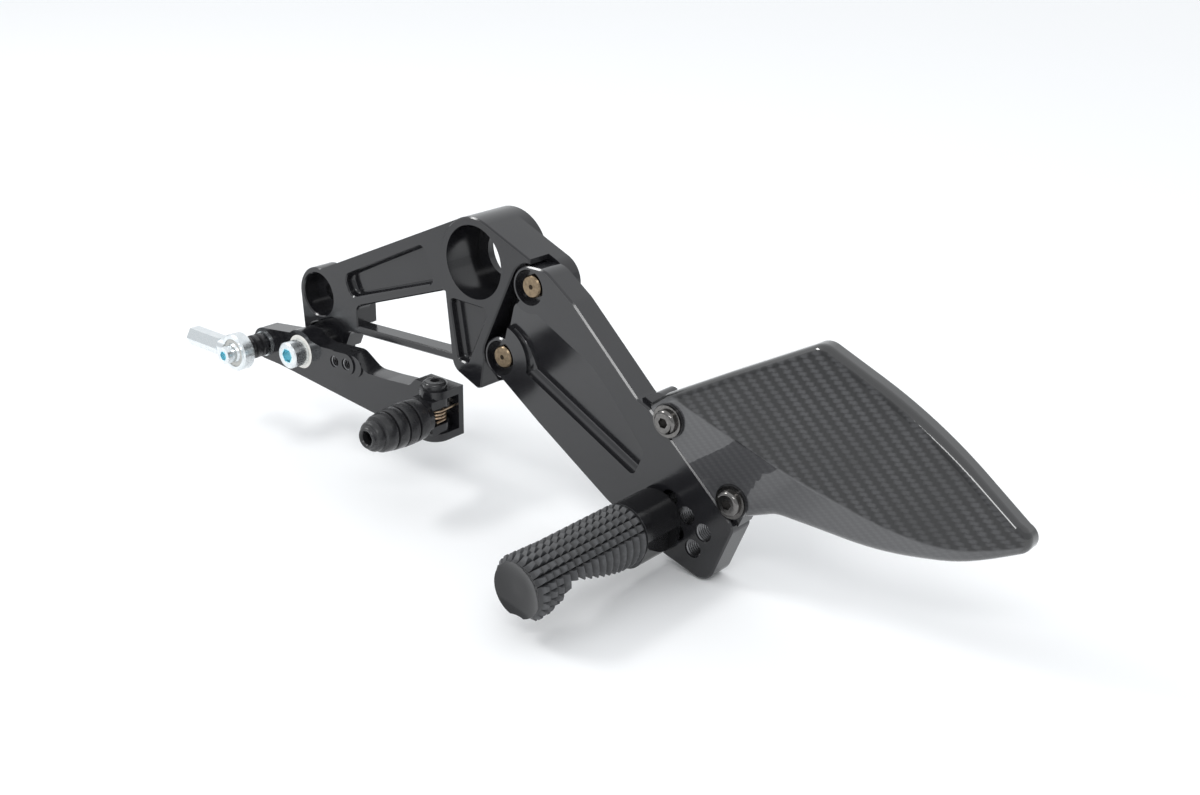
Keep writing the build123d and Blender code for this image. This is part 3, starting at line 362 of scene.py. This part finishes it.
def turnedMetal(name):
    spec = turnedSet[name]
    material, tree, shader = startMaterial(name)
    where = placeOf(tree)
    cloud = noiseOf(tree, where, turnedGrain["cloudScale"], 4.0, 0.6)
    colour = mixColour(tree, spread(tree, cloud, 0, 1), spec["light"], spec["dark"])
    height = noiseOf(tree, where, turnedGrain["gritScale"], 2.0)
    if "centres" in spec:
        reach = calc(tree, "MINIMUM", *[reachFrom(tree, centre) for centre in spec["centres"]])
        # painted shade: a dark dot at each screw's centre stands for the shade in the drill mark's dimple
        inDimpleShade = calc(tree, "LESS_THAN", reach, spec["drillMark"])
        colour = mixColour(tree, inDimpleShade, colour, spec["dimpleShadeTone"])
        rings = calc(tree, "SINE", calc(tree, "MULTIPLY", reach, spec["rings"]))
        height = calc(tree, "ADD", height, calc(tree, "MULTIPLY", rings, turnedGrain["ringShare"]))
    look = {
        "Base Color": colour,
        "Metallic": spec["metal"],
        "Roughness": spread(tree, cloud, *spec["rough"]),
    }
    setShader(tree, shader, look)
    bumpFrom(tree, shader, height, *turnedGrain["bump"])
    return material


# moulded plastics and rubber
mouldedGrain = {"cloudScale": 330.0, "bumpDistance": 0.00008}
mouldedSet = {
    "bushPale": {
        "light": (0.86, 0.84, 0.79, 1),
        "dark": (0.74, 0.72, 0.67, 1),
        "rough": (0.35, 0.5),
        "grain": 2500.0,
        "bump": 0.08,
    },
    "linerWhite": {
        "light": (0.6, 0.6, 0.57, 1),
        "dark": (0.42, 0.42, 0.4, 1),
        "rough": (0.4, 0.55),
        "grain": 2500.0,
        "bump": 0.08,
    },
    "sleeveRubber": {
        "light": (0.026, 0.026, 0.028, 1),
        "dark": (0.006, 0.006, 0.007, 1),
        "rough": (0.18, 0.44),
        "grain": 900.0,
        "bump": 0.5,
    },
}


def moulded(name):
    spec = mouldedSet[name]
    material, tree, shader = startMaterial(name)
    where = placeOf(tree)
    cloud = noiseOf(tree, where, mouldedGrain["cloudScale"], 5.0, 0.65)
    look = {
        "Base Color": mixColour(tree, spread(tree, cloud, 0, 1), spec["light"], spec["dark"]),
        "Roughness": spread(tree, cloud, *spec["rough"]),
    }
    setShader(tree, shader, look)
    height = noiseOf(tree, where, spec["grain"], 3.0)
    bumpFrom(tree, shader, height, spec["bump"], mouldedGrain["bumpDistance"])
    return material


# twill carbon: finer cloth under a fuller coat below the crease, its colours painted lighter there as
# painted light, and no cloth on the turned rim
weaveSet = {
    "tow": 0.00165,
    "flankTow": 0.0011,
    "turn": 6.6,
    "wander": 0.7,
    "wanderScale": 0.9,
    "overRange": (-0.5, 0.7),
    "crownShade": (0.3, 1.0, 0.0, 0.8),
    "patchScale": 32.0,
    "patchShade": (0.5, 1.0, 0.35, 0.65),
    "warp": (0.05, 0.05, 0.053, 1),
    "weft": (0.007, 0.007, 0.0075, 1),
    "flankLitWarp": (0.064, 0.064, 0.067, 1),
    "flankLitWeft": (0.052, 0.052, 0.055, 1),
    "rim": (0.008, 0.008, 0.0085, 1),
    "rimFacing": (0.72, 0.93),
    "clothRough": 0.34,
    "clothGloss": 1.25,
    "coat": (0.55, 1.0),
    "coatRough": 0.02,
    "coatGloss": 1.7,
    "flankRelief": 0.4,
    "bump": (0.3, 0.0001),
    "creaseStart": (0.09, -0.0262),
    "creaseEnd": (0.27, -0.045),
    "creaseDip": [(0.345, 0.0195), (0.55, 0.0282), (0.69, 0.0324), (0.83, 0.0310)],
    "creaseBlend": (-0.0003, 0.0006),
}


def carbonTwill():
    material, tree, shader = startMaterial("carbonTwill")

    # one at the middle of each tow and zero at its edges
    def crown(value):
        middle = calc(tree, "SUBTRACT", calc(tree, "FRACT", value), 0.5)
        square = calc(tree, "MULTIPLY", middle, middle)
        return calc(tree, "SUBTRACT", 1.0, calc(tree, "MULTIPLY", square, 4.0))

    def twill(tow):
        where = placeOf(tree, [1.0 / tow] * 3, (0, math.radians(weaveSet["turn"]), 0))
        noise = {"Vector": where, "Scale": weaveSet["wanderScale"], "Detail": 2.0}
        stray = addNode(tree, "ShaderNodeTexNoise", noise).outputs["Color"]
        shift = {0: stray, 1: [weaveSet["wander"]] * 3, 2: where}
        push = addNode(tree, "ShaderNodeVectorMath", shift, operation="MULTIPLY_ADD")
        axes = axesOf(tree, push.outputs["Vector"])
        along, across = axes["X"], axes["Z"]
        step = calc(tree, "ADD", along, calc(tree, "FLOOR", across))
        wave = calc(tree, "SINE", calc(tree, "MULTIPLY", step, math.pi / 2))
        over = spread(tree, wave, 0.0, 1.0, *weaveSet["overRange"])
        return calc(tree, "MULTIPLY", over, spread(tree, crown(across), *weaveSet["crownShade"]))

    # how far below the crease a point lies, seen from outboard
    axes = axesOf(tree, placeOf(tree))
    startX, startZ = weaveSet["creaseStart"]
    endX, endZ = weaveSet["creaseEnd"]
    share = spread(tree, axes["X"], 0.0, 1.0, startX, endX)
    dip = addNode(tree, "ShaderNodeFloatCurve", {"Value": share})
    line = dip.mapping.curves[0]
    line.points[0].location = (0.0, 0.0)
    line.points[1].location = (1.0, startZ - endZ)
    for place, drop in weaveSet["creaseDip"]:
        line.points.new(place, drop)
    dip.mapping.update()
    crease = calc(tree, "SUBTRACT", startZ, dip.outputs["Value"])
    under = calc(tree, "SUBTRACT", crease, axes["Z"])
    below = spread(tree, under, 0.0, 1.0, *weaveSet["creaseBlend"])

    facing = axesOf(tree, addNode(tree, "ShaderNodeTexCoord").outputs["Normal"])
    turned = spread(tree, calc(tree, "ABSOLUTE", facing["Y"]), 1.0, 0.0, *weaveSet["rimFacing"])
    broad, fine = twill(weaveSet["tow"]), twill(weaveSet["flankTow"])
    cloud = noiseOf(tree, placeOf(tree), weaveSet["patchScale"], 2.0)
    patchy = calc(tree, "MULTIPLY", broad, spread(tree, cloud, *weaveSet["patchShade"]))
    sheetTone = mixColour(tree, patchy, weaveSet["weft"], weaveSet["warp"])
    # painted light: the cloth below the crease gets lighter colours, standing for the brighter reflection
    # the lower flank catches; the weave itself is the cloth's own
    flankLitTone = mixColour(tree, fine, weaveSet["flankLitWeft"], weaveSet["flankLitWarp"])
    clothTone = mixColour(tree, below, sheetTone, flankLitTone)
    coated = calc(tree, "MAXIMUM", below, turned)
    look = {
        "Base Color": mixColour(tree, turned, clothTone, weaveSet["rim"]),
        "Roughness": weaveSet["clothRough"],
        "IOR": weaveSet["clothGloss"],
        "Coat Weight": spread(tree, coated, *weaveSet["coat"], 0.0, 1.0),
        "Coat Roughness": weaveSet["coatRough"],
        "Coat IOR": weaveSet["coatGloss"],
    }
    setShader(tree, shader, look)
    raised = mixValue(tree, below, broad, calc(tree, "MULTIPLY", fine, weaveSet["flankRelief"]))
    height = calc(tree, "MULTIPLY", raised, calc(tree, "SUBTRACT", 1.0, turned))
    bumpFrom(tree, shader, height, *weaveSet["bump"])
    return material


paper, paperTree, paperShader = startMaterial("palePaper")
paperCloud = noiseOf(paperTree, placeOf(paperTree), studioSet["floorCloud"], 2.0)
paperLook = {
    "Base Color": mixColour(paperTree, paperCloud, studioSet["floorColour"], studioSet["floorPale"]),
    "Roughness": studioSet["floorRough"],
}
setShader(paperTree, paperShader, paperLook)
floor.data.materials.append(paper)

blackBody = anodisedBlack("blackAnodised", anodisedSet["body"])
blackPlate = anodisedBlack("blackPlate", anodisedSet["plate"])
blackSteel = turnedMetal("blackSteel")
plainZinc = zincPlate("zincRodEnd")
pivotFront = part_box("lever_pivot_bolt")[0][1]
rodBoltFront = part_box("rod_end_bolt")[0][1]
finishes = {
    "hanger_bracket": blackBody,
    "peg_plate": blackPlate,
    "plate_screws": turnedMetal("bronzeTip"),
    "foot_peg": knurlFinish(),
    "foot_peg_stud": plainZinc,
    "heel_guard": carbonTwill(),
    "heel_guard_washers": blackSteel,
    "heel_guard_screws": turnedMetal("darkScrew"),
    "lever_pivot_bolt": zincPlate("zincPivot", zincSet["pivotBolt"], pivotFront),
    "lever_pivot_spacer": blackSteel,
    "lever_pivot_bushes": moulded("bushPale"),
    "shift_lever": blackBody,
    "rod_end_bolt": zincPlate("zincRodBolt", zincSet["rodBolt"], rodBoltFront),
    "rod_end_spacer": blackSteel,
    "rod_end_washer": plainZinc,
    "rod_end_ball": plainZinc,
    "rod_end_body": plainZinc,
    "rod_end_liner": moulded("linerWhite"),
    "toe_peg_screw": blackSteel,
    "toe_peg_spring": turnedMetal("springBronze"),
    "toe_peg_pin": blackBody,
    "toe_peg_rubber": moulded("sleeveRubber"),
}
for nodeName, material in finishes.items():
    nodes[nodeName].data.materials.clear()
    nodes[nodeName].data.materials.append(material)
print("finishes given to", len(finishes), "nodes")


# helpers for the new pieces: pick makes a piece the active one, turnOutward works on it
def pick(piece):
    bpy.ops.object.select_all(action="DESELECT")
    bpy.context.view_layer.objects.active = piece
    piece.select_set(True)


def turnOutward(smoothAngle):
    bpy.ops.object.mode_set(mode="EDIT")
    bpy.ops.mesh.select_all(action="SELECT")
    bpy.ops.mesh.normals_make_consistent(inside=False)
    bpy.ops.object.mode_set(mode="OBJECT")
    bpy.ops.object.shade_smooth_by_angle(angle=math.radians(smoothAngle))


# rubber sleeve of the toe peg: broad bands, narrow grooves, a stepped nose and a lip round its bore
# each ring is its distance from the inner end and its radius, both in millimetres
sleeveSet = {
    "sides": 72,
    "perMetre": 1000,
    "weld": 0.00001,
    "smooth": 32,
    "rings": [
        (0.1, 5.06), (0.1, 8.2), (0.5, 8.7), (1.1, 9.3), (6.0, 9.7), (6.5, 9.55), (6.8, 8.5),
        (7.3, 8.5), (7.5, 9.5), (7.9, 9.75), (12.2, 9.7), (12.7, 9.5), (13.0, 8.5),
        (13.5, 8.5), (13.7, 9.4), (14.1, 9.55), (18.2, 9.2), (18.7, 9.0), (19.0, 8.0),
        (19.5, 8.0), (19.7, 8.8), (20.1, 8.95), (23.8, 8.4), (24.6, 8.0), (25.1, 7.1),
        (25.3, 6.7), (26.2, 6.7), (26.5, 7.0), (28.0, 6.8), (28.8, 6.2), (29.1, 5.3),
        (29.4, 5.1), (30.3, 5.0), (30.75, 4.6), (30.85, 4.2), (30.6, 3.5), (30.0, 3.1),
        (27.06, 3.1), (27.06, 5.06), (0.1, 5.06),
    ],
}
sleeveLow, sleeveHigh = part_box("toe_peg_rubber")
along, radius = sleeveSet["rings"][0]
bpy.ops.object.select_all(action="DESELECT")
bpy.ops.mesh.primitive_circle_add(
    vertices=sleeveSet["sides"],
    radius=radius / sleeveSet["perMetre"],
    location=(
        (sleeveLow[0] + sleeveHigh[0]) / 2,
        sleeveHigh[1] - along / sleeveSet["perMetre"],
        (sleeveLow[2] + sleeveHigh[2]) / 2,
    ),
    rotation=(math.pi / 2, 0, 0),
)
sleeve = bpy.context.object
sleeve.name = "toeSleeve"
bpy.ops.object.mode_set(mode="EDIT")
bpy.ops.mesh.select_all(action="SELECT")
for nextAlong, nextRadius in sleeveSet["rings"][1:]:
    step = (along - nextAlong) / sleeveSet["perMetre"]
    bpy.ops.mesh.extrude_region_move(TRANSFORM_OT_translate={"value": (0, step, 0)})
    bpy.ops.transform.resize(value=(nextRadius / radius, 1, nextRadius / radius))
    along, radius = nextAlong, nextRadius
bpy.ops.mesh.select_all(action="SELECT")
bpy.ops.mesh.remove_doubles(threshold=sleeveSet["weld"])
bpy.ops.object.mode_set(mode="OBJECT")
turnOutward(sleeveSet["smooth"])
bpy.ops.object.transform_apply(location=True, rotation=True, scale=True)
sleeve.data.materials.append(finishes["toe_peg_rubber"])
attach(sleeve, "toe_peg")
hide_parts("toe_peg_rubber")
print("toe sleeve made with", len(sleeve.data.polygons), "faces")

# ball-nose fillets along the foot of the plate's pocket: one straight, one round the lower screw's land
# rise is the slope of the pocket's floor, bite how far the fillets sink into the plate
filletSet = {
    "radius": 0.003,
    "depth": 0.0045,
    "rise": 9.2,
    "wallStart": (0.0308, -0.043),
    "wallEnd": (0.091, -0.073),
    "early": 0.002,
    "land": (0.0155, -0.04),
    "landRadius": 0.0156,
    "landSweep": (-14.0, 66.0),
    "bite": 0.00005,
    "sides": 128,
    "ballSides": 96,
    "cutterDepth": 0.03,
    "smooth": 30,
}


def cutAway(piece, cutter):
    carve = piece.modifiers.new("carve", "BOOLEAN")
    carve.operation = "DIFFERENCE"
    carve.solver = "EXACT"
    carve.object = cutter
    pick(piece)
    bpy.ops.object.modifier_apply(modifier="carve")
    pick(cutter)
    bpy.ops.object.delete()
    pick(piece)


def finishFillet(piece):
    bpy.ops.object.transform_apply(location=True, rotation=True, scale=True)
    turnOutward(filletSet["smooth"])
    piece.data.materials.append(blackPlate)
    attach(piece, "hanger")


rise = math.radians(filletSet["rise"])
ball = filletSet["radius"]
ballDepth = filletSet["depth"] - ball * math.tan(rise) - ball / math.cos(rise)
footWidth = ball + ball * math.sin(rise)
footDepth = filletSet["depth"] + filletSet["bite"]
wallRun = Vector(filletSet["wallEnd"]) - Vector(filletSet["wallStart"])
wallTurn = math.atan2(-wallRun.y, wallRun.x)

bpy.ops.object.select_all(action="DESELECT")
bpy.ops.mesh.primitive_cube_add(size=1)
wallFillet = bpy.context.object
wallFillet.name = "pocketWallFillet"
wallFillet.scale = (
    wallRun.length + filletSet["early"],
    footDepth - ballDepth,
    footWidth + filletSet["bite"],
)
wallFillet.location = (
    (wallRun.length - filletSet["early"]) / 2,
    (footDepth + ballDepth) / 2,
    (footWidth - filletSet["bite"]) / 2,
)
bpy.ops.object.transform_apply(location=True, rotation=True, scale=True)
bpy.ops.mesh.primitive_cylinder_add(
    vertices=filletSet["ballSides"],
    radius=ball,
    depth=2 * wallRun.length,
    location=(wallRun.length / 2, ballDepth, ball),
    rotation=(0, math.pi / 2, 0),
)
cutAway(wallFillet, bpy.context.object)
wallFillet.rotation_euler = (0, wallTurn, 0)
wallFillet.location = (filletSet["wallStart"][0], 0, filletSet["wallStart"][1])
finishFillet(wallFillet)

bpy.ops.object.select_all(action="DESELECT")
bpy.ops.mesh.primitive_cylinder_add(
    vertices=filletSet["sides"],
    radius=filletSet["landRadius"] + footWidth,
    depth=footDepth - ballDepth,
    location=(0, (footDepth + ballDepth) / 2, 0),
    rotation=(math.pi / 2, 0, 0),
)
landFillet = bpy.context.object
landFillet.name = "pocketLandFillet"
bpy.ops.mesh.primitive_cylinder_add(
    vertices=filletSet["sides"],
    radius=filletSet["landRadius"] - filletSet["bite"],
    depth=filletSet["cutterDepth"],
    rotation=(math.pi / 2, 0, 0),
)
cutAway(landFillet, bpy.context.object)
bpy.ops.mesh.primitive_torus_add(
    major_radius=filletSet["landRadius"] + ball,
    minor_radius=ball,
    major_segments=filletSet["sides"],
    minor_segments=filletSet["ballSides"],
    location=(0, ballDepth, 0),
    rotation=(math.pi / 2, 0, 0),
)
cutAway(landFillet, bpy.context.object)
bpy.ops.object.transform_apply(location=True, rotation=True, scale=True)
bpy.ops.object.mode_set(mode="EDIT")
for angle, side in zip(filletSet["landSweep"], (1, -1)):
    edge = math.radians(angle)
    bpy.ops.mesh.select_all(action="SELECT")
    bpy.ops.mesh.bisect(
        plane_co=(0, 0, 0),
        plane_no=(-side * math.sin(edge), 0, side * math.cos(edge)),
        use_fill=True,
        clear_inner=True,
    )
bpy.ops.object.mode_set(mode="OBJECT")
landFillet.location = (filletSet["land"][0], 0, filletSet["land"][1])
finishFillet(landFillet)
filletFaces = len(wallFillet.data.polygons) + len(landFillet.data.polygons)
print("pocket fillets made with", filletFaces, "faces")

# threads wound through the open tapped holes of the plate and of the lever's pad
# wall is the radius of the ridge's foot, just inside the metal, and crest its width as a share of the pitch
threadSmooth = 35
# painted highlight: the threads are black anodised like the plate, and their grey stands for glints on the
# crests
threadGlintFinish = turnedMetal("threadGlintGrey")
threadSet = {
    "plateThread": {
        "holes": [
            (0.1229, -0.0957),
            (0.119, -0.0821),
            (0.1277, -0.087),
            (0.1103, -0.0773),
            (0.1142, -0.0909),
        ],
        "body": "hanger",
        "start": 0.0008,
        "pitch": 0.00125,
        "crest": 0.55,
        "wall": 0.00403,
        "depth": 0.00062,
        "turns": 8,
        "steps": 30,
    },
    "padThread": {
        "holes": [(-0.0808, -0.0626), (-0.0726, -0.062)],
        "body": "lever",
        "start": -0.0118,
        "pitch": 0.001,
        "crest": 0.55,
        "wall": 0.00293,
        "depth": 0.0005,
        "turns": 9,
        "steps": 26,
    },
}


def windThread(name, spec, hole):
    bpy.ops.object.select_all(action="DESELECT")
    bpy.ops.mesh.primitive_circle_add(
        vertices=3, radius=spec["pitch"] / math.sqrt(3), rotation=(0, 0, math.pi / 2)
    )
    ridge = bpy.context.object
    ridge.name = name
    bpy.ops.object.transform_apply(location=False, rotation=True, scale=False)
    bpy.ops.object.mode_set(mode="EDIT")
    bpy.ops.mesh.select_all(action="SELECT")
    sharpHeight = spec["pitch"] * math.sqrt(3) / 2
    bpy.ops.transform.resize(value=(spec["depth"] / sharpHeight, spec["crest"], 1))
    # the foot of the V lies on the wall's radius
    bpy.ops.transform.translate(value=(spec["wall"] - spec["depth"] / 3, 0, 0))
    bpy.ops.object.mode_set(mode="OBJECT")
    winding = ridge.modifiers.new("winding", "SCREW")
    winding.axis = "Y"
    winding.screw_offset = spec["pitch"]
    winding.iterations = spec["turns"]
    winding.steps = spec["steps"]
    winding.render_steps = spec["steps"]
    bpy.ops.object.modifier_apply(modifier="winding")
    bpy.ops.object.mode_set(mode="EDIT")
    bpy.ops.mesh.select_all(action="SELECT")
    bpy.ops.mesh.fill_holes(sides=3)
    bpy.ops.object.mode_set(mode="OBJECT")
    turnOutward(threadSmooth)
    ridge.location = (hole[0], spec["start"], hole[1])
    bpy.ops.object.transform_apply(location=True, rotation=False, scale=False)
    ridge.data.materials.append(threadGlintFinish)
    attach(ridge, spec["body"])


for threadName, spec in threadSet.items():
    for number, hole in enumerate(spec["holes"]):
        windThread(threadName + str(number), spec, hole)
    print(threadName, "wound in", len(spec["holes"]), "holes")

bpy.context.view_layer.update()
